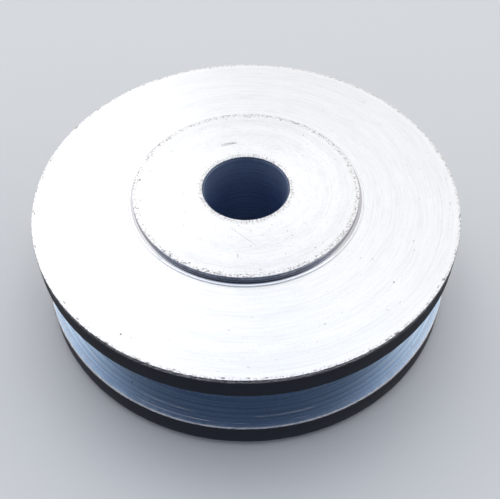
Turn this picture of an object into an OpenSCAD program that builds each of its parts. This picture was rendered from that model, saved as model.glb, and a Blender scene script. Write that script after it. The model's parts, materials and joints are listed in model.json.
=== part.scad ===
// Single-groove V belt pulley: a grooved sheave on a pressed-in hub, locked to its shaft by two set screws.
// Millimetres. Origin on the bore's axis, midway between the faces, in the belt's plane. +Z along the axis.

/* [Sheave] */
// Outer diameter over the flanges
rim_d = 80; // [76:0.5:120]
// Width over the flanges
rim_w = 21; // [18:0.1:30]
// Chamfer on the flanges' edges
rim_chamfer = 0.2; // [0.1:0.05:0.6]

/* [Belt groove] */
// Width of the groove at the rim, for a 10 mm belt
groove_w = 11.1; // [9.7:0.1:13]
// Depth of the groove below the rim
groove_depth = 11.5; // [8:0.5:12]
// Angle between the groove's flanks
groove_angle = 34; // [32:1:40]
// Chamfer at the groove's mouth
mouth_chamfer = 0.15; // [0.05:0.05:0.4]

/* [Hub] */
// Diameter of the hub's seat in the sheave
seat_d = 44.5; // [44.4:0.1:47]
// Diameter of the raised boss
boss_d = 42.6; // [30:0.2:43]
// Height of the boss above the web
boss_h = 1.25; // [1:0.05:4]
// Fillet at the boss's foot
foot_fillet = 0.35; // [0.2:0.05:0.5]
// Chamfer round the boss's face
boss_chamfer = 0.15; // [0.05:0.05:0.4]
// Diameter of the shaft bore
bore_d = 16; // [10:0.5:20]
// Chamfer at the bore's mouths
bore_chamfer = 0.3; // [0.1:0.05:1]

/* [Set screws] */
// Nominal thread diameter
screw_d = 5; // [4:0.5:6]
// Length of a set screw
screw_l = 12; // [8:1:14]
// Across flats of the hexagon socket
socket_af = 2.5; // [2:0.5:3]
// Depth of the hexagon socket
socket_depth = 2.6; // [2:0.1:4]
// Direction of the first set screw about the axis
first_azimuth = 225; // [0:15:345]
// Angle from one set screw to the next
screw_spread = 90; // [60:15:180]
// Gap between a set screw's tip and the bore wall
tip_gap = 0.3; // [0.1:0.1:1]

/* [Hidden] */
$fn = 96;

rim_r = rim_d / 2;
half_w = rim_w / 2;
seat_r = seat_d / 2;
boss_r = boss_d / 2;
bore_r = bore_d / 2;
face_z = half_w + boss_h;
floor_r = rim_r - groove_depth;
mouth_z = groove_w / 2;
flank_slope = tan(groove_angle / 2);
floor_z = mouth_z - groove_depth * flank_slope;

// The thread is left plain: the hole at the nominal diameter, the screw just clear of it
thread_clearance = 0.05;
hole_r = screw_d / 2;
screw_r = hole_r - thread_clearance;
// Cup point, as on a standard cup-point set screw
cup_r = screw_d * 0.26;
cup_depth = 0.6;
end_chamfer = 0.4;
// How far a cutting shape reaches past the metal that it cuts
overrun = 1;

zinc = [0.86, 0.88, 0.91];
worn_zinc = [0.80, 0.81, 0.83];
black_oxide = [0.16, 0.16, 0.17];

// A section's points above the belt's plane, followed by their mirror image below it
function both_halves(points) = concat(
    points,
    [for (i = [len(points) - 1 : -1 : 0]) [points[i][0], -points[i][1]]]
);

// Section of the sheave, its groove's flanks straight down to a flat floor
module sheave_section() {
    polygon(both_halves([
        [floor_r, floor_z],
        [rim_r - mouth_chamfer, mouth_z - mouth_chamfer * flank_slope],
        [rim_r, mouth_z + mouth_chamfer],
        [rim_r, half_w - rim_chamfer],
        [rim_r - rim_chamfer, half_w],
        [seat_r, half_w]
    ]));
}

// True arc that fills the corner at the foot of the boss on the upper side
module foot_fillet_section() {
    difference() {
        translate([boss_r, half_w]) square(foot_fillet);
        translate([boss_r + foot_fillet, half_w + foot_fillet]) circle(foot_fillet);
    }
}

// Section of the hub, with a boss on each side
module hub_section() {
    polygon(both_halves([
        [seat_r, half_w],
        [boss_r, half_w],
        [boss_r, face_z - boss_chamfer],
        [boss_r - boss_chamfer, face_z],
        [bore_r + bore_chamfer, face_z],
        [bore_r, face_z - bore_chamfer]
    ]));
    foot_fillet_section();
    mirror([0, 1]) foot_fillet_section();
}

// Radial tapped holes, from inside the bore out past the rim
module screw_holes() {
    for (turn = [0, screw_spread])
        rotate([0, 0, first_azimuth + turn]) rotate([0, 90, 0]) cylinder(r = hole_r, h = rim_r + overrun);
}

module sheave() {
    color(zinc) difference() {
        rotate_extrude() sheave_section();
        screw_holes();
    }
}

module hub() {
    color(worn_zinc) difference() {
        rotate_extrude() hub_section();
        screw_holes();
    }
}

// Cup-point set screw standing on its tip, its socket upwards
module set_screw_blank() {
    difference() {
        rotate_extrude() polygon([
            [0, cup_depth],
            [cup_r, 0],
            [screw_r, screw_r - cup_r],
            [screw_r, screw_l - end_chamfer],
            [screw_r - end_chamfer, screw_l],
            [0, screw_l]
        ]);
        translate([0, 0, screw_l - socket_depth])
            cylinder(d = socket_af / cos(30), h = socket_depth + overrun, $fn = 6);
    }
}

// A set screw in its hole, its tip just short of the bore wall
module fitted_set_screw(azimuth) {
    color(black_oxide) rotate([0, 0, azimuth]) translate([bore_r + tip_gap, 0, 0])
        rotate([0, 90, 0]) set_screw_blank();
}

module set_screw_left() {
    fitted_set_screw(first_azimuth);
}

module set_screw_right() {
    fitted_set_screw(first_azimuth + screw_spread);
}

sheave();
hub();
set_screw_left();
set_screw_right();
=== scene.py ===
"""Looks of the V belt pulley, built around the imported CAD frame.

The sheave, the hub and the two set screws are rebuilt as finely turned meshes with worn edges,
threads and tool marks. Sections are drawn in millimetres and scaled to the frame's metres.
"""

import json
import math

import bpy
import numpy as np
from mathutils import Matrix, Vector


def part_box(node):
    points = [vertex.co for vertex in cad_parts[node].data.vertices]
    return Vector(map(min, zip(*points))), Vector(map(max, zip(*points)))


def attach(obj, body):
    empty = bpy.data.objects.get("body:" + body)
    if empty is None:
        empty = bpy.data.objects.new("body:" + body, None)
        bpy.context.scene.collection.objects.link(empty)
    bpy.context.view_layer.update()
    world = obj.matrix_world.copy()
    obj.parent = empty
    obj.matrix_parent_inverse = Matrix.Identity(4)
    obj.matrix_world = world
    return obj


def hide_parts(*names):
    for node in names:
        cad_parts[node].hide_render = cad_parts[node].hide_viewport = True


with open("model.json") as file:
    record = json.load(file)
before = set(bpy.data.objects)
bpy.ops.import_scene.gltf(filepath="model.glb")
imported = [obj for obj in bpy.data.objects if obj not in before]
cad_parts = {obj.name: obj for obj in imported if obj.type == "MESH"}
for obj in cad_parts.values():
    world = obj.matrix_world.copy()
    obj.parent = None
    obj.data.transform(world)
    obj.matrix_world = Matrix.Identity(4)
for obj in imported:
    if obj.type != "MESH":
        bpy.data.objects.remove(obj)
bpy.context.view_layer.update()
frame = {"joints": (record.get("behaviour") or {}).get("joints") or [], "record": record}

MM = 0.001
TAU = 2 * math.pi

# Driving sizes in millimetres, the first five from the frame
RIM_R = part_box("sheave")[1].y / MM
HALF_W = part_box("sheave")[1].z / MM
SEAT_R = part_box("hub")[1].y / MM
FACE_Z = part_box("hub")[1].z / MM
BORE_R = frame["record"]["mounts"][0]["dims"]["r_mm"]
BORE_CHAMFER = 0.3
GROOVE_W = 11.1
GROOVE_DEPTH = 11.5
GROOVE_ANGLE = math.radians(34)
BOSS_R = 21.3

# Foot of the boss: an arc, a flat as far as FOOT_FLAT, and a burnished ring that slopes down to the web
FOOT_ARC = 0.10
FOOT_FLAT = 0.58
FOOT_RING = 0.07
RING_END = SEAT_R - 0.15

# How far wear takes down the edges of the flanges, of the groove's mouth, of the boss and of the bore
RIM_WEAR = 0.10
MOUTH_WEAR = 0.12
BOSS_WEAR = 0.04
BORE_WEAR = 0.06

# Set screws and their tapped holes
THREAD_D = 5.0
THREAD_PITCH = 0.8
THREAD_DEPTH = 0.36
TAP_CLEARANCE = 0.02
SCREW_R = 2.44
SCREW_L = 12.0
SCREW_CHAMFER = 0.45
TIP_R = BORE_R + 0.3
CUP_R = 1.3
CUP_DEPTH = 0.6
SOCKET_AF = 2.5
SOCKET_DEPTH = 2.6
SOCKET_CONE = 0.7

FLANK_SLOPE = math.tan(GROOVE_ANGLE / 2)
FLOOR_R = RIM_R - GROOVE_DEPTH
FLOOR_Z = GROOVE_W / 2 - GROOVE_DEPTH * FLANK_SLOPE


# ---------------------------------------------------------------- turned sections

class Section:
    """Closed outline in the (radius, z) half-plane, walked with the metal on its left.

    Each point carries how far wear may move it, and the direction of that wear."""

    def __init__(self):
        self.points = []
        self.wear = []

    def add(self, r, z, wear=(0.0, 0.0)):
        self.points.append((r, z))
        self.wear.append(wear)

    def line(self, end, step):
        """Points every step or less from the last point to end."""
        start = self.points[-1]
        length = math.hypot(end[0] - start[0], end[1] - start[1])
        count = max(1, math.ceil(length / step))
        for i in range(1, count + 1):
            t = i / count
            self.add(start[0] + (end[0] - start[0]) * t, start[1] + (end[1] - start[1]) * t)

    def corner(self, corner, before, after, worn):
        """Rounded corner from a point short of it on one side to a point past it on the other."""
        a, c, b = Vector(before), Vector(corner), Vector(after)
        inward = ((a - c).normalized() + (b - c).normalized()).normalized() * worn
        for t in (0.0, 0.25, 0.5, 0.75, 1.0):
            p = a * (1 - t) ** 2 + c * 2 * t * (1 - t) + b * t**2
            most_in_the_middle = 1 - abs(2 * t - 1) * 0.75
            self.add(p.x, p.y, (inward.x * most_in_the_middle, inward.y * most_in_the_middle))

    def hollow(self, centre, radius, start, end, steps):
        """Arc, for a fillet in an inside corner. Angles in degrees."""
        for i in range(steps + 1):
            angle = math.radians(start + (end - start) * i / steps)
            self.add(centre[0] + radius * math.cos(angle), centre[1] + radius * math.sin(angle))


def sheave_section():
    """Section of the grooved wheel, its seat for the hub on the inside."""
    seat, seat_drop, seat_shoulder = SEAT_R + 0.01, 0.018, 0.15
    edge_in, edge_down, mouth, root = 0.06, 0.3, 0.15, 0.3
    flank_top = GROOVE_W / 2
    s = Section()
    s.corner((seat, HALF_W), (seat, HALF_W - seat_drop), (seat + seat_shoulder, HALF_W), 0.0)
    s.line((RIM_R - 1.2, HALF_W), 1.6)
    s.line((RIM_R - edge_in - 0.2, HALF_W), 0.4)
    s.corner((RIM_R, HALF_W), (RIM_R - edge_in, HALF_W), (RIM_R, HALF_W - edge_down), RIM_WEAR)
    s.line((RIM_R, flank_top + mouth + 0.1), 1.1)
    s.corner((RIM_R, flank_top), (RIM_R, flank_top + mouth),
             (RIM_R - mouth, flank_top - mouth * FLANK_SLOPE), MOUTH_WEAR)
    s.line((FLOOR_R + root + 0.2, FLOOR_Z + (root + 0.2) * FLANK_SLOPE), 1.2)
    flank_foot = (FLOOR_R + root, FLOOR_Z + root * FLANK_SLOPE)
    s.corner((FLOOR_R, FLOOR_Z), flank_foot, (FLOOR_R, FLOOR_Z - root), 0.0)
    s.line((FLOOR_R, 0.0), 1.0)
    return mirrored(s)


def mirrored(half):
    """The upper half of a section, then its mirror image below the belt's plane."""
    whole = Section()
    for (r, z), wear in zip(half.points, half.wear):
        whole.add(r, z, wear)
    for (r, z), wear in reversed(list(zip(half.points, half.wear))):
        if z > 0:
            whole.add(r, -z, (wear[0], -wear[1]))
    return whole


def hub_section():
    """Section of the hub, from the bore over the boss to the seat in the wheel."""
    edge_in, edge_down, soft, below_edge = 0.05, 0.09, 0.04, 0.06
    seat, seat_drop, seat_shoulder = SEAT_R - 0.01, 0.03, 0.13
    arc_end = BOSS_R + FOOT_ARC
    s = Section()
    s.add(BORE_R, 0.0)
    s.line((BORE_R, FACE_Z - BORE_CHAMFER), 0.9)
    s.add(BORE_R + BORE_CHAMFER - soft, FACE_Z - soft)
    s.add(BORE_R + BORE_CHAMFER, FACE_Z, (BORE_WEAR, 0.0))
    s.line((BOSS_R - edge_in - 0.3, FACE_Z), 1.0)
    s.corner((BOSS_R, FACE_Z), (BOSS_R - edge_in, FACE_Z), (BOSS_R, FACE_Z - edge_down), BOSS_WEAR)
    s.add(BOSS_R, FACE_Z - edge_down - below_edge)
    s.hollow((arc_end, HALF_W + FOOT_RING + FOOT_ARC), FOOT_ARC, 180, 270, 5)
    s.add(BOSS_R + FOOT_FLAT, HALF_W + FOOT_RING)
    s.add(RING_END, HALF_W)
    s.corner((seat, HALF_W), (seat - seat_shoulder, HALF_W), (seat, HALF_W - seat_drop), 0.0)
    s.line((seat, 0.0), 2.5)
    return mirrored(s)


def ring_noise(angles, count, rng):
    """Smooth random values between 0 and 1 around a ring, with count bumps."""
    values = rng.random(count)
    place = angles / TAU * count
    low = np.floor(place).astype(int) % count
    t = place - np.floor(place)
    t = t * t * (3 - 2 * t)
    return values[low] * (1 - t) + values[(low + 1) % count] * t


def turned_mesh(name, section, segments, seed):
    """Closed ring swept from a section about Z, its edges worn unevenly."""
    rng = np.random.default_rng(seed)
    angles = np.arange(segments) * TAU / segments
    points = np.array(section.points)
    wear = np.array(section.wear)
    count = len(points)
    r = np.repeat(points[None, :, 0], segments, 0)
    z = np.repeat(points[None, :, 1], segments, 0)
    groups = np.cumsum(np.r_[True, np.any(wear[1:] != 0, 1) != np.any(wear[:-1] != 0, 1)])
    for g in np.unique(groups):
        members = np.where((groups == g) & np.any(wear != 0, 1))[0]
        if len(members) == 0:
            continue
        ragged = 0.55 * ring_noise(angles, segments // 2, rng)
        ragged += 0.3 * ring_noise(angles, segments // 7, rng)
        ragged += 0.15 * ring_noise(angles, 23, rng)
        ragged = ragged**2 * 1.6
        r[:, members] += ragged[:, None] * wear[members, 0]
        z[:, members] += ragged[:, None] * wear[members, 1]
    x = r * np.cos(angles)[:, None] * MM
    y = r * np.sin(angles)[:, None] * MM
    vertices = np.stack([x, y, z * MM], -1).reshape(-1, 3)
    ring = np.arange(segments)[:, None] * count
    next_ring = (np.arange(segments)[:, None] + 1) % segments * count
    here = np.arange(count)[None, :]
    there = (here + 1) % count
    quads = np.stack([ring + here, next_ring + here, next_ring + there, ring + there], -1)
    return mesh_object(name, vertices, quads.reshape(-1, 4))


def mesh_object(name, vertices, faces):
    mesh = bpy.data.meshes.new(name)
    mesh.from_pydata([tuple(v) for v in vertices], [], [tuple(f) for f in faces])
    mesh.validate()
    obj = bpy.data.objects.new(name, mesh)
    bpy.context.collection.objects.link(obj)
    return obj


# ---------------------------------------------------------------- threads and set screws

def threaded_rod(start, end, crest_r, root_r, sides=40, steps_per_turn=10):
    """Heights, angles and radii of a rod along +Z with a helical thread."""
    rows = math.ceil((end - start) / THREAD_PITCH * steps_per_turn)
    heights = np.linspace(start, end, rows + 1)
    angles = np.arange(sides) * TAU / sides
    phase = (heights[:, None] / THREAD_PITCH - angles[None, :] / TAU) % 1
    flank = np.clip(np.abs(phase - 0.5) * 2 * 1.35 - 0.2, 0, 1)
    r = root_r + (crest_r - root_r) * flank
    return heights, angles, r


def rod_mesh(name, heights, angles, r):
    """Closed rod along +Z through rings of the given radii."""
    rows, sides = r.shape
    x = r * np.cos(angles)[None, :]
    y = r * np.sin(angles)[None, :]
    z = np.repeat(heights[:, None], sides, 1)
    vertices = list(np.stack([x, y, z], -1).reshape(-1, 3) * MM)
    faces = []
    for i in range(rows - 1):
        for j in range(sides):
            k = (j + 1) % sides
            faces.append((i * sides + j, i * sides + k, (i + 1) * sides + k, (i + 1) * sides + j))
    faces.append(tuple(range(sides - 1, -1, -1)))
    faces.append(tuple((rows - 1) * sides + j for j in range(sides)))
    return mesh_object(name, vertices, faces)


def cut(target, cutter):
    """Takes the cutter's shape out of the target, and deletes the cutter."""
    modifier = target.modifiers.new("cut", "BOOLEAN")
    modifier.operation = "DIFFERENCE"
    modifier.solver = "EXACT"
    modifier.object = cutter
    bpy.context.view_layer.objects.active = target
    bpy.ops.object.modifier_apply(modifier=modifier.name)
    bpy.data.objects.remove(cutter)


def smooth(obj, angle=32):
    mesh = obj.data
    mesh.polygons.foreach_set("use_smooth", [True] * len(mesh.polygons))
    mesh.set_sharp_from_angle(angle=math.radians(angle))


def radial_place(joint_name):
    """Turns a tool standing on +Z so that it points outwards along a set screw's hole."""
    joint = next(j for j in frame["joints"] if j["name"] == joint_name)
    outward = -Vector(joint["axis"])
    return outward.to_track_quat("Z", "X").to_matrix().to_4x4()


def tap_hole(target, joint_name, inner, outer):
    """Threaded hole through the target, between two distances from the Z axis."""
    crest, root = THREAD_D / 2 + TAP_CLEARANCE, THREAD_D / 2 + THREAD_DEPTH * 0.7
    heights, angles, r = threaded_rod(inner, outer, crest, root)
    cutter = rod_mesh("tap", heights, angles, r)
    cutter.data.transform(radial_place(joint_name))
    cut(target, cutter)


def set_screw(name, joint_name):
    """Threaded screw with a cup point and a hexagon socket, in its place at rest."""
    crest, root = SCREW_R, SCREW_R - THREAD_DEPTH
    heights, angles, r = threaded_rod(0.0, SCREW_L, crest, root, sides=48, steps_per_turn=12)
    limit = np.minimum(CUP_R + heights, crest)
    limit = np.minimum(limit, crest - SCREW_CHAMFER + (SCREW_L - heights))
    r = np.minimum(r, limit[:, None])
    screw = rod_mesh(name, heights, angles, r)
    cut(screw, cone_tool("cup", CUP_R * 0.96, CUP_DEPTH))
    cut(screw, prism_tool("socket", SOCKET_AF, SCREW_L - SOCKET_DEPTH, SCREW_L + 1))
    screw.data.transform(Matrix.Translation((0, 0, TIP_R * MM)))
    screw.data.transform(radial_place(joint_name))
    smooth(screw, 35)
    return screw


def circle(radius, sides):
    return [(radius * math.cos(TAU * i / sides), radius * math.sin(TAU * i / sides)) for i in range(sides)]


def cone_tool(name, radius, depth, sides=32):
    """Cone that points up from z = 0, on a short cylinder below it."""
    rim = [(x, y, 0.0) for x, y in circle(radius, sides)]
    below = [(x, y, -0.5) for x, y, _ in rim]
    vertices = np.array(rim + below + [(0, 0, depth)]) * MM
    faces = [(i, (i + 1) % sides, 2 * sides) for i in range(sides)]
    faces += [(sides + i, sides + (i + 1) % sides, (i + 1) % sides, i) for i in range(sides)]
    faces.append(tuple(range(2 * sides - 1, sides - 1, -1)))
    return mesh_object(name, vertices, faces)


def prism_tool(name, across_flats, low, high):
    """Hexagonal prism with the cone that a drill leaves below it."""
    corners = circle(across_flats / 2 / math.cos(math.pi / 6), 6)
    vertices = [(x, y, low) for x, y in corners] + [(x, y, high) for x, y in corners]
    vertices.append((0, 0, low - SOCKET_CONE))
    faces = [(i, (i + 1) % 6, 6 + (i + 1) % 6, 6 + i) for i in range(6)]
    faces += [((i + 1) % 6, i, 12) for i in range(6)]
    faces.append((6, 7, 8, 9, 10, 11))
    return mesh_object(name, np.array(vertices) * MM, faces)


# ---------------------------------------------------------------- materials

class Nodes:
    """Short ways to add and join shader nodes in a tree."""

    def __init__(self, tree):
        self.tree = tree

    def new(self, kind):
        return self.tree.nodes.new(kind)

    def link(self, value, socket):
        if isinstance(value, bpy.types.NodeSocket):
            self.tree.links.new(value, socket)
        else:
            socket.default_value = value

    def math(self, operation, a, b=0.0, clamp=False):
        node = self.new("ShaderNodeMath")
        node.operation = operation
        node.use_clamp = clamp
        self.link(a, node.inputs[0])
        self.link(b, node.inputs[1])
        return node.outputs[0]

    def ramp(self, value, low, high, a=0.0, b=1.0):
        node = self.new("ShaderNodeMapRange")
        node.interpolation_type = "SMOOTHSTEP"
        for socket, v in zip(node.inputs[:5], (value, low, high, a, b)):
            self.link(v, socket)
        return node.outputs[0]

    def noise(self, vector, scale, detail=2.0, roughness=0.5):
        node = self.new("ShaderNodeTexNoise")
        self.link(vector, node.inputs["Vector"])
        node.inputs["Scale"].default_value = scale
        node.inputs["Detail"].default_value = detail
        node.inputs["Roughness"].default_value = roughness
        return node.outputs[0]

    def ring_noise(self, place, scale, detail=2.0):
        node = self.new("ShaderNodeTexNoise")
        node.noise_dimensions = "1D"
        self.link(place, node.inputs["W"])
        node.inputs["Scale"].default_value = scale
        node.inputs["Detail"].default_value = detail
        return node.outputs[0]

    def cells(self, vector, scale, randomness=1.0):
        node = self.new("ShaderNodeTexVoronoi")
        self.link(vector, node.inputs["Vector"])
        node.inputs["Scale"].default_value = scale
        node.inputs["Randomness"].default_value = randomness
        return node

    def mix(self, factor, a, b):
        node = self.new("ShaderNodeMix")
        node.data_type = "RGBA"
        self.link(factor, node.inputs[0])
        self.link(a, node.inputs[6])
        self.link(b, node.inputs[7])
        return node.outputs[2]

    def bump(self, height, strength, distance, normal=None):
        node = self.new("ShaderNodeBump")
        node.inputs["Strength"].default_value = strength
        node.inputs["Distance"].default_value = distance
        self.link(height, node.inputs["Height"])
        if normal is not None:
            self.link(normal, node.inputs["Normal"])
        return node.outputs[0]

    def split(self, vector):
        node = self.new("ShaderNodeSeparateXYZ")
        self.link(vector, node.inputs[0])
        return node.outputs

    def dot(self, vector, fixed):
        node = self.new("ShaderNodeVectorMath")
        node.operation = "DOT_PRODUCT"
        self.link(vector, node.inputs[0])
        node.inputs[1].default_value = fixed
        return node.outputs["Value"]

    def place(self):
        """Position in millimetres, distance from the Z axis, and height."""
        scale = self.new("ShaderNodeVectorMath")
        scale.operation = "SCALE"
        self.link(self.new("ShaderNodeTexCoord").outputs["Object"], scale.inputs[0])
        scale.inputs["Scale"].default_value = 1 / MM
        x, y, z = self.split(scale.outputs[0])
        squares = self.math("ADD", self.math("MULTIPLY", x, x), self.math("MULTIPLY", y, y))
        return scale.outputs[0], self.math("SQRT", squares), z

    def along_turning(self, mm, radius, z, along, across):
        """Coordinates for marks drawn out round the axis, with their frequencies per millimetre."""
        x, y, _ = self.split(mm)
        join = self.new("ShaderNodeCombineXYZ")
        self.link(self.math("MULTIPLY", self.math("DIVIDE", x, radius), along * TYPICAL_R), join.inputs[0])
        self.link(self.math("MULTIPLY", self.math("DIVIDE", y, radius), along * TYPICAL_R), join.inputs[1])
        self.link(self.math("MULTIPLY", self.math("ADD", radius, z), across), join.inputs[2])
        return join.outputs[0]

    def band(self, value, low, high, soft):
        """1 between low and high, falling to 0 over a soft edge."""
        return self.both(self.ramp(value, low - soft, low), self.ramp(value, high, high + soft, 1.0, 0.0))

    def either(self, a, b):
        """The stronger of two masks."""
        return self.math("MAXIMUM", a, b)

    def both(self, a, b):
        """A mask only where another one is, or a mask made weaker."""
        return self.math("MULTIPLY", a, b)


def new_material(name):
    """A new material, the tool for its nodes and its shader."""
    material = bpy.data.materials.new(name)
    material.use_nodes = True
    n = Nodes(material.node_tree)
    return material, n, next(node for node in n.tree.nodes if node.type == "BSDF_PRINCIPLED")


# Colours of bared burrs, stained plate, dark flecks, rubbed patches, painted shade on the boss's wall and
# dark painted shade in the bore's mouth, up the bore and at the boss's foot
BURR = (0.92, 0.88, 0.89, 1)
STAIN = (0.60, 0.57, 0.55, 1)
GRIME = (0.26, 0.23, 0.21, 1)
CRUMB = (0.42, 0.38, 0.36, 1)
# Painted shade for the boss's wall and the flat at its foot
WALL_SHADE_TINT = (0.52, 0.51, 0.54, 1)
# Dark painted shade for the bore's mouth, the bore towards its face and the corner at the boss's foot
PAINTED_SHADE_TINT = (0.03, 0.035, 0.055, 1)

# Radius at which marks drawn out round the axis have the frequencies that are asked for
TYPICAL_R = 18.0

# Radii of the scores in the groove, then the place and the size of each nick
SCORES = (38.1, 39.15)
WEB_NICKS = ((-20.4, -31.3, 0.22), (24.9, -21.7, 0.2))
BOSS_NICK = (-20.2, 2.3, 0.3)


def flecks(n, mm, radius, z, amount):
    """Fine dark dots and specks, more of them where amount is high."""
    clusters = n.noise(mm, 0.5, 2.0)
    plenty = n.math("MULTIPLY", amount, n.ramp(clusters, 0.3, 0.7, 0.15, 0.75))
    cell = n.cells(n.along_turning(mm, radius, z, 2.3, 3.0), 1.0)
    luck, reach, _ = n.split(cell.outputs["Color"])
    inside = n.math("SUBTRACT", cell.outputs["Distance"], n.math("MULTIPLY", reach, 0.26))
    dot = n.ramp(inside, 0.1, 0.24, 1.0, 0.0)
    dot = n.both(dot, n.ramp(n.math("ADD", luck, plenty), 0.98, 1.04))
    fine = n.noise(n.along_turning(mm, radius, z, 3.6, 4.6), 1.0, 2.0, 0.6)
    speck = n.ramp(n.math("ADD", fine, n.math("MULTIPLY", plenty, 0.12)), 0.70, 0.78)
    return n.either(dot, speck)


def scores(n, radius):
    """Fine lines scratched round the groove's flanks."""
    lines = [n.band(radius, r - 0.03, r + 0.03, 0.05) for r in SCORES]
    return n.either(*lines)


def turned_plate(name, plate, tarnish, recess_dark, recess_light, roughness, mark_depth, draw_masks):
    """Zinc plate over turning marks round the Z axis.

    draw_masks gives, for a place, its radius and its height, the strength of each of these, 1 being full:
    recess (blue tints, darker in part as painted shade), grimy (dark painted shade), smooth (turned fine),
    left_rough, rubbed, dulled (painted shade on the boss's wall), burr (bared along an edge), flecks (how
    many) and marks (single nicks and scratches)."""
    material, n, shader = new_material(name)
    mm, radius, z = n.place()
    masks = draw_masks(n, mm, radius, z)
    outline = n.math("ADD", radius, z)
    fine = n.ring_noise(outline, 7.0, 3.0)
    streak = n.ring_noise(outline, 2.6, 4.0)
    medium = n.ring_noise(outline, 1.2, 2.0)
    broad = n.ring_noise(outline, 0.25, 1.0)
    patch = n.noise(mm, 0.10, 3.0)
    grain = n.noise(mm, 4.2, 3.0, 0.6)
    drag = n.noise(n.along_turning(mm, radius, z, 0.35, 3.0), 1.0, 2.0)
    broken = n.ramp(n.noise(n.along_turning(mm, radius, z, 0.1, 0.5), 1.0, 1.0), 0.35, 0.65, 0.25, 1.25)
    streak = n.math("ADD", 0.5, n.math("MULTIPLY", n.math("SUBTRACT", streak, 0.5), broken))
    fleck = n.either(flecks(n, mm, radius, z, masks["flecks"]), masks["marks"])
    score = n.both(n.both(scores(n, radius), masks["recess"]), n.ramp(drag, 0.42, 0.56, 0.0, 0.85))
    plain = n.math("SUBTRACT", 1.0, n.either(masks["smooth"], n.math("MULTIPLY", masks["recess"], 0.6)))

    tone = n.math("ADD", n.math("MULTIPLY", broad, 0.45), n.math("MULTIPLY", patch, 0.25))
    tone = n.math("ADD", tone, n.math("MULTIPLY", n.math("ADD", medium, drag), 0.15))
    colour = n.mix(n.ramp(tone, 0.38, 0.66), plate, tarnish)
    scuffs = n.math("MULTIPLY", n.math("ADD", streak, drag), 0.27)
    scuffs = n.math("ADD", scuffs, n.math("MULTIPLY", grain, 0.46))
    colour = n.mix(n.ramp(scuffs, 0.42, 0.66, 0.0, 0.32), colour, STAIN)
    crumbs = n.ramp(n.noise(mm, 2.3, 3.0, 0.65), 0.46, 0.64)
    colour = n.mix(n.both(masks["rubbed"], crumbs), colour, CRUMB)
    # Painted shade: the boss's wall and the flat at its foot are darkened
    colour = n.mix(masks["dulled"], colour, WALL_SHADE_TINT)
    shade = n.math("ADD", n.math("MULTIPLY", streak, 0.55), n.math("MULTIPLY", fine, 0.45))
    shade = n.math("ADD", shade, n.math("MULTIPLY", n.math("SUBTRACT", grain, 0.5), 0.3))
    # In the groove and the bore the colour turns to blue tints: the plating's own blue, made darker as
    # painted shade
    colour = n.mix(masks["recess"], colour, n.mix(n.ramp(shade, 0.36, 0.64), recess_dark, recess_light))
    # Painted shade: the bore's mouth, the bore towards its face and the corner at the boss's foot are
    # darkened
    colour = n.mix(masks["grimy"], colour, PAINTED_SHADE_TINT)
    burr = n.both(masks["burr"], n.ramp(n.noise(mm, 2.2, 4.0, 0.75), 0.42, 0.58, 0.12, 1.0))
    colour = n.mix(n.either(burr, score), colour, BURR)
    colour = n.mix(n.math("MULTIPLY", fleck, 0.65), colour, GRIME)
    n.link(colour, shader.inputs["Base Color"])
    dull = n.either(n.either(burr, score), n.math("MULTIPLY", masks["left_rough"], 0.07))
    n.link(n.math("SUBTRACT", 1.0, n.math("MULTIPLY", dull, 0.5)), shader.inputs["Metallic"])

    rough = n.math("ADD", n.math("MULTIPLY", broad, 0.06), n.math("MULTIPLY", grain, 0.10))
    rough = n.math("ADD", rough, roughness - 0.08)
    rough = n.math("SUBTRACT", rough, n.math("MULTIPLY", masks["smooth"], roughness - 0.08))
    worn = n.either(fleck, n.either(score, n.either(n.math("MULTIPLY", burr, 0.4), masks["left_rough"])))
    rough = n.math("ADD", rough, n.math("MULTIPLY", worn, 0.3), clamp=True)
    n.link(rough, shader.inputs["Roughness"])
    shader.inputs["Anisotropic"].default_value = 0.5
    shader.inputs["Anisotropic Rotation"].default_value = 0.25
    tangent = n.new("ShaderNodeTangent")
    tangent.direction_type = "RADIAL"
    tangent.axis = "Z"
    n.link(tangent.outputs[0], shader.inputs["Tangent"])

    marks = n.math("ADD", n.math("MULTIPLY", fine, 0.5), n.math("MULTIPLY", medium, 0.35))
    marks = n.math("ADD", marks, n.math("MULTIPLY", n.math("ADD", grain, drag), 0.2))
    height = n.math("MULTIPLY", marks, plain)
    height = n.math("ADD", height, n.math("MULTIPLY", n.both(grain, burr), 3.0))
    height = n.math("SUBTRACT", height, n.math("MULTIPLY", fleck, 1.0))
    n.link(n.bump(height, 1.0, mark_depth * MM), shader.inputs["Normal"])
    return material


def nick(n, mm, x, y, size):
    """A small dark nick at one place, on either face."""
    across, along, _ = n.split(mm)
    aside = n.math("ABSOLUTE", n.math("SUBTRACT", across, x))
    ahead = n.math("ABSOLUTE", n.math("SUBTRACT", along, y))
    return n.ramp(n.math("ADD", aside, ahead), size * 0.6, size * 1.4, 1.0, 0.0)


def boss_marks(n, mm, radius):
    """A smudge behind the bore, a fine scratch in front of it and a nick by the edge."""
    x, y, _ = n.split(mm)
    behind_bore = n.both(n.band(x, -4.4, -2.2, 0.6), n.ramp(y, 0.0, 1.0))
    smudge = n.both(n.band(radius, 12.45, 12.75, 0.3), behind_bore)
    smudge = n.both(smudge, n.ramp(n.noise(mm, 2.2, 2.0), 0.4, 0.6, 0.15, 0.95))
    aside = n.dot(mm, (0.685, 0.729, 0.0))
    ahead = n.dot(mm, (0.729, -0.685, 0.0))
    scratch = n.both(n.band(aside, -9.27, -9.23, 0.07), n.band(ahead, 5.2, 10.6, 0.5))
    scratch = n.math("MULTIPLY", scratch, 0.45)
    return n.either(n.either(smudge, scratch), nick(n, mm, *BOSS_NICK))


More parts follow.
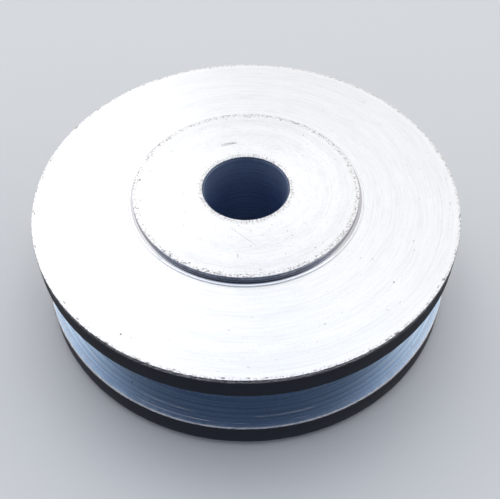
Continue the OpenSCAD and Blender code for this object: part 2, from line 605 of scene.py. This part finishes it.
def zinc_plated():
    """The sheave's plating: bright faces, burred edges, and blue in the belt groove, darker there as
    painted shade.
    """
    def draw_masks(n, mm, radius, z):
        height = n.math("ABSOLUTE", z)
        groove = n.both(n.ramp(height, GROOVE_W / 2 - 0.05, GROOVE_W / 2 + 0.1, 1.0, 0.0),
                        n.ramp(radius, RIM_R - 0.3, RIM_R - 0.15, 1.0, 0.0))
        lower_lip = n.both(n.ramp(radius, RIM_R - 0.35, RIM_R - 0.15),
                           n.band(z, -GROOVE_W / 2 - 0.2, -GROOVE_W / 2 + 0.15, 0.1))
        top_edge = n.ramp(z, HALF_W - 0.55, HALF_W - 0.1)
        by_edge = n.both(n.ramp(radius, RIM_R - 0.8, RIM_R), top_edge)
        top_land = n.ramp(z, HALF_W - 1.0, HALF_W - 0.4)
        return {
            "recess": groove,
            "grimy": 0.0,
            "smooth": 0.0,
            "left_rough": n.math("MULTIPLY", groove, 0.18),
            "rubbed": n.math("MULTIPLY", by_edge, 0.9),
            "dulled": 0.0,
            "burr": n.either(lower_lip, n.both(n.ramp(radius, RIM_R - 0.06, RIM_R), top_land)),
            "flecks": n.math("ADD", n.math("MULTIPLY", by_edge, 1.1), 0.02),
            "marks": n.either(*[nick(n, mm, *spot) for spot in WEB_NICKS]),
        }

    return turned_plate("zinc_plated_steel", (0.88, 0.89, 0.91, 1), (0.82, 0.84, 0.87, 1),
                        (0.45, 0.58, 0.78, 1), (0.72, 0.88, 1.0, 1), 0.32, 0.007, draw_masks)


def worn_zinc():
    """The hub's plating: rubbed and speckled on the boss, blue in the bore and darker there as painted
    shade, with painted shade at the bore's mouth and on the boss's wall and foot.
    """
    def draw_masks(n, mm, radius, z):
        height = n.math("ABSOLUTE", z)
        above_web = n.ramp(height, HALF_W + FOOT_RING - 0.04, HALF_W + FOOT_RING - 0.01)
        face = n.ramp(height, FACE_Z - 0.09, FACE_Z - 0.03)
        by_bore = n.both(n.ramp(radius, BORE_R + 0.5, BORE_R + 1.7, 1.0, 0.0), face)
        by_edge = n.both(n.band(radius, BOSS_R - 0.35, BOSS_R, 1.0), face)
        by_either = n.either(by_bore, by_edge)
        bore = n.ramp(radius, BORE_R + BORE_CHAMFER - 0.04, BORE_R + BORE_CHAMFER + 0.02, 1.0, 0.0)
        wall = n.both(above_web, n.band(radius, BOSS_R - 0.01, BOSS_R + FOOT_FLAT - 0.04, 0.03))
        ring = n.band(radius, BOSS_R + FOOT_FLAT, RING_END - 0.03, 0.03)
        foot = n.both(n.band(radius, BOSS_R - 0.02, BOSS_R + FOOT_FLAT - 0.06, 0.04), above_web)
        mouth = n.both(n.ramp(radius, BORE_R + 0.02, BORE_R + 0.06), bore)
        # Painted shade that fades up from the boss's foot, and painted shade up the bore that is darker
        # towards its face
        shaded_foot = n.both(foot, n.ramp(height, HALF_W + 0.1, HALF_W + 1.0, 0.12, 0.0))
        shaded_bore = n.both(bore, n.ramp(z, 0.0, HALF_W, 0.0, 0.26))
        return {
            "recess": bore,
            "grimy": n.either(n.math("MULTIPLY", mouth, 0.8), n.either(shaded_foot, shaded_bore)),
            "smooth": n.either(n.math("MULTIPLY", wall, 0.75), ring),
            "left_rough": n.math("MULTIPLY", bore, 0.5),
            "rubbed": n.math("MULTIPLY", by_either, 0.75),
            # Painted shade on the boss's wall
            "dulled": n.math("MULTIPLY", wall, 0.85),
            "burr": 0.0,
            "flecks": n.math("ADD", n.math("MULTIPLY", by_either, 1.2), n.math("MULTIPLY", face, 0.06)),
            "marks": n.both(face, boss_marks(n, mm, radius)),
        }

    return turned_plate("worn_zinc_steel", (0.90, 0.91, 0.925, 1), (0.84, 0.85, 0.87, 1),
                        (0.36, 0.46, 0.69, 1), (0.60, 0.75, 1.0, 1), 0.36, 0.010, draw_masks)


def black_oxide():
    """The set screws' dark, slightly rubbed finish."""
    material, n, shader = new_material("black_oxide_steel")
    mm, _, _ = n.place()
    grain = n.noise(mm, 9.0, 4.0, 0.6)
    rub = n.noise(mm, 1.6, 3.0)
    n.link(n.mix(n.ramp(rub, 0.55, 0.75), (0.035, 0.035, 0.04, 1), (0.09, 0.088, 0.085, 1)),
           shader.inputs["Base Color"])
    shader.inputs["Metallic"].default_value = 0.85
    n.link(n.ramp(grain, 0.2, 0.8, 0.3, 0.5), shader.inputs["Roughness"])
    n.link(n.bump(grain, 0.6, 0.008 * MM), shader.inputs["Normal"])
    return material


def dress(obj, material, body, node):
    """Gives a piece its material and its place in the frame."""
    obj.data.materials.clear()
    obj.data.materials.append(material)
    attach(obj, body)
    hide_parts(node)


# ---------------------------------------------------------------- the pulley

LEFT_JOINT, RIGHT_JOINT = "left_screw_travel", "right_screw_travel"

sheave = turned_mesh("sheave_body", sheave_section(), segments=900, seed=11)
hub = turned_mesh("hub_body", hub_section(), segments=720, seed=23)
for joint in (LEFT_JOINT, RIGHT_JOINT):
    tap_hole(sheave, joint, inner=SEAT_R - 1.5, outer=FLOOR_R + 5.0)
    tap_hole(hub, joint, inner=BORE_R - 2.0, outer=SEAT_R + 1.0)
smooth(sheave)
smooth(hub)

dress(sheave, zinc_plated(), "pulley", "sheave")
dress(hub, worn_zinc(), "pulley", "hub")
oxide = black_oxide()
left_screw = set_screw("set_screw_left_body", LEFT_JOINT)
dress(left_screw, oxide, "set_screw_left", "set_screw_left")
right_screw = set_screw("set_screw_right_body", RIGHT_JOINT)
dress(right_screw, oxide, "set_screw_right", "set_screw_right")


# ---------------------------------------------------------------- floor, light and camera

# The dome is lit from low behind the pulley and round its sides, with a weaker band low in front of it.
# Overhead, high in front and below the horizon it is dark.
TOWARDS_LIGHT = (0.08, 1.0, -1.36)
LIGHT_LEVEL = 1.04
SIDE_GLOW = 0.35
FRONT_GLOW = 0.50
NIGHT = (0.045, 0.06, 0.10, 1)
DUSK = (0.38, 0.48, 0.66, 1)
DAY = (1.05, 1.05, 1.05, 1)
UNDER_HORIZON = (0.008, 0.009, 0.014, 1)


def floor():
    """Plain pale floor under the pulley, left out of reflections so that the flanges stay dark."""
    side = 3.0
    corners = [(-side, -side), (side, -side), (side, side), (-side, side)]
    obj = mesh_object("floor", [(x, y, -FACE_Z * MM) for x, y in corners], [(0, 1, 2, 3)])
    material, _, shader = new_material("pale_floor")
    shader.inputs["Base Color"].default_value = (0.80, 0.80, 0.79, 1)
    shader.inputs["Roughness"].default_value = 0.9
    obj.data.materials.append(material)
    obj.visible_glossy = False


def backdrop():
    """Plain wall far round the floor, seen by the camera but neither lit nor reflected."""
    sides, radius, low, high = 96, 3.0, -FACE_Z * MM - 0.01, 3.0
    ring = circle(radius, sides)
    vertices = [(x, y, low) for x, y in ring] + [(x, y, high) for x, y in ring]
    faces = [((i + 1) % sides, i, sides + i, sides + (i + 1) % sides) for i in range(sides)]
    obj = mesh_object("backdrop", vertices, faces)
    material, _, shader = new_material("pale_backdrop")
    shader.inputs["Base Color"].default_value = (0.0, 0.0, 0.0, 1)
    shader.inputs["Roughness"].default_value = 1.0
    shader.inputs["Specular IOR Level"].default_value = 0.0
    shader.inputs["Emission Color"].default_value = (0.43, 0.45, 0.485, 1)
    shader.inputs["Emission Strength"].default_value = 1.0
    obj.data.materials.append(material)
    obj.visible_glossy = False
    obj.visible_diffuse = False
    obj.visible_shadow = False


def softbox(name, place, size, power, colour, reflected=True):
    """Rectangular light turned towards the pulley."""
    light = bpy.data.lights.new(name, "AREA")
    light.shape = "RECTANGLE"
    light.size, light.size_y = size
    light.energy = power
    light.color = colour
    obj = bpy.data.objects.new(name, light)
    obj.location = place
    obj.rotation_euler = (-Vector(place)).to_track_quat("-Z", "Y").to_euler()
    obj.visible_glossy = reflected
    bpy.context.collection.objects.link(obj)


def dome():
    """Studio dome, its light falling off smoothly in every direction."""
    world = bpy.data.worlds.new("studio_dome")
    bpy.context.scene.world = world
    world.use_nodes = True
    n = Nodes(world.node_tree)
    direction = n.new("ShaderNodeTexCoord").outputs["Generated"]
    _, y, z = n.split(direction)
    lit = n.math("ADD", n.dot(direction, TOWARDS_LIGHT), LIGHT_LEVEL)
    low_glow = n.both(n.ramp(z, 0.42, 0.62, SIDE_GLOW, 0.0), n.ramp(y, -0.8, -0.35))
    front_glow = n.both(n.ramp(z, 0.46, 0.60, FRONT_GLOW, 0.0), n.ramp(y, -0.8, -0.35, 1.0, 0.0))
    front_glow = n.both(front_glow, n.ramp(z, 0.12, 0.42))
    lit = n.math("ADD", lit, n.math("ADD", low_glow, front_glow))
    colour = n.mix(n.ramp(lit, -0.32, 0.08), NIGHT, DUSK)
    colour = n.mix(n.ramp(lit, -0.04, 0.46), colour, DAY)
    background = next(node for node in n.tree.nodes if node.type == "BACKGROUND")
    n.link(n.mix(n.ramp(z, 0.0, 0.22), UNDER_HORIZON, colour), background.inputs["Color"])
    background.inputs["Strength"].default_value = 1.0


def camera():
    """Camera 46 degrees above the web and about two and a half radii in front.

    Its picture is shifted, because the pulley lies off the camera's own axis."""
    place = Vector((0.0, -2.4075 * RIM_R, 2.5106 * RIM_R + HALF_W)) * MM
    yaw, pitch, roll = 0.0077, 0.8233, -0.0076
    forward = Vector((math.sin(yaw) * math.cos(pitch), math.cos(yaw) * math.cos(pitch), -math.sin(pitch)))
    level = forward.cross(Vector((0, 0, 1))).normalized()
    upright = level.cross(forward)
    right = level * math.cos(roll) + upright * math.sin(roll)
    up = upright * math.cos(roll) - level * math.sin(roll)
    lens = bpy.data.cameras.new("camera")
    lens.sensor_width = 36
    lens.lens = 52.8
    lens.shift_y = -0.0906
    lens.clip_start = 0.001
    obj = bpy.data.objects.new("camera", lens)
    axes = Matrix((right, up, -forward)).transposed().to_4x4()
    obj.matrix_world = Matrix.Translation(place) @ axes
    bpy.context.collection.objects.link(obj)
    bpy.context.scene.camera = obj


floor()
backdrop()
dome()
softbox("back_left_window", (-0.25, 0.45, 0.50), (0.45, 0.35), 0.25, (0.97, 0.98, 1.0))
softbox("high_panel", (0.0, 0.26, 0.65), (0.45, 0.34), 0.24, (1.0, 1.0, 1.0))
softbox("floor_panel", (0.0, 0.05, 0.65), (0.5, 0.5), 1.2, (0.95, 0.97, 1.0), reflected=False)
camera()
bpy.context.scene.view_settings.view_transform = "Standard"
